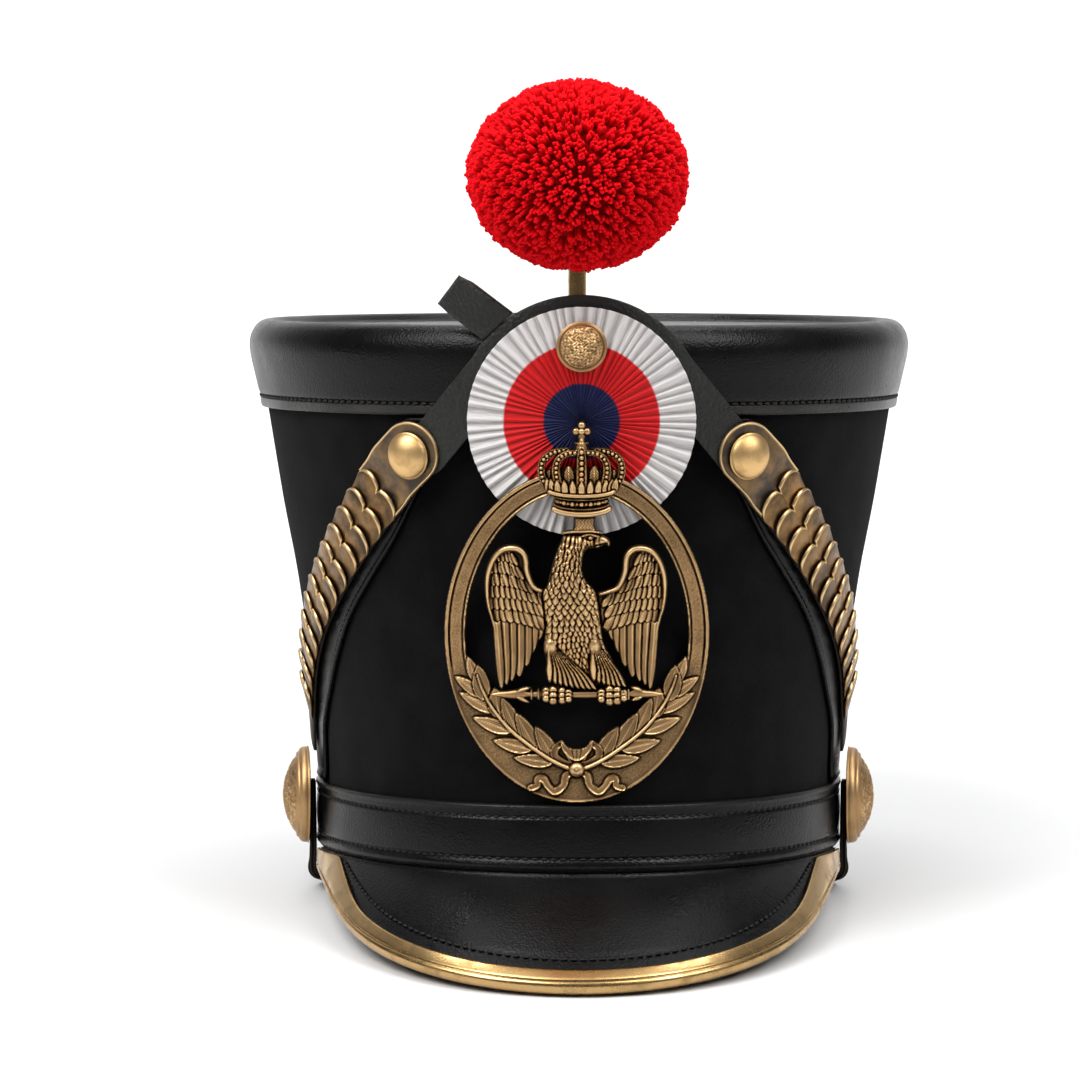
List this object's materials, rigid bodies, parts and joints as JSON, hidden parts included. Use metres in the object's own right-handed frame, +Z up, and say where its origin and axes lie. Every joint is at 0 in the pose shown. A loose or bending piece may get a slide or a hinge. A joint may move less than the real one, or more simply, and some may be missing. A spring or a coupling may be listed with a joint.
{
  "type": "military shako hat",
  "caption": "Black felt shako with leather top, band and visor, brass scale straps and eagle plate, tricolour cockade and a red wool pompom.",
  "frame": {"origin": "on the surface that the hat rests on, below the middle of its bounding box", "axes": "+Z up from the surface, -Y to the hat's front, +X to the right as seen from the front; the hat leans back by 8 degrees on its visor"},
  "size_m": [0.215, 0.2878, 0.2768],
  "materials": {
    "black_felt": "matt wool felt",
    "black_leather": "fine grained, soft sheen",
    "satin_brass": "satin, lightly worn",
    "antique_brass": "cast, dark in the hollows, rubbed on the high points",
    "pleated_ribbon": "pleated ribbed ribbon, white, red and navy",
    "red_wool": "cut wool yarn"
  },
  "bodies": {
    "root": {"chevron_left": "black_leather", "chevron_right": "black_leather", "chin_strap": "black_leather", "cockade": "pleated_ribbon", "cockade_backing": "black_leather", "cockade_button": "satin_brass", "felt_body": "black_felt", "front_plate": "antique_brass", "head_band": "black_leather", "pompom": "red_wool", "pompom_stem": "satin_brass", "rosette_left": "satin_brass", "rosette_right": "satin_brass", "scale_button_left": "satin_brass", "scale_button_right": "satin_brass", "scale_left_01": "satin_brass", "scale_left_02": "satin_brass", "scale_left_03": "satin_brass", "scale_left_04": "satin_brass", "scale_left_05": "satin_brass", "scale_left_06": "satin_brass", "scale_left_07": "satin_brass", "scale_left_08": "satin_brass", "scale_left_09": "satin_brass", "scale_left_10": "satin_brass", "scale_left_11": "satin_brass", "scale_left_12": "satin_brass", "scale_lining_left": "black_leather", "scale_lining_right": "black_leather", "scale_plate_left": "satin_brass", "scale_plate_right": "satin_brass", "scale_right_01": "satin_brass", "scale_right_02": "satin_brass", "scale_right_03": "satin_brass", "scale_right_04": "satin_brass", "scale_right_05": "satin_brass", "scale_right_06": "satin_brass", "scale_right_07": "satin_brass", "scale_right_08": "satin_brass", "scale_right_09": "satin_brass", "scale_right_10": "satin_brass", "scale_right_11": "satin_brass", "scale_right_12": "satin_brass", "strap_loop": "black_leather", "top_leather": "black_leather", "visor": "black_leather", "visor_trim": "satin_brass"}
  },
  "joints": []
}
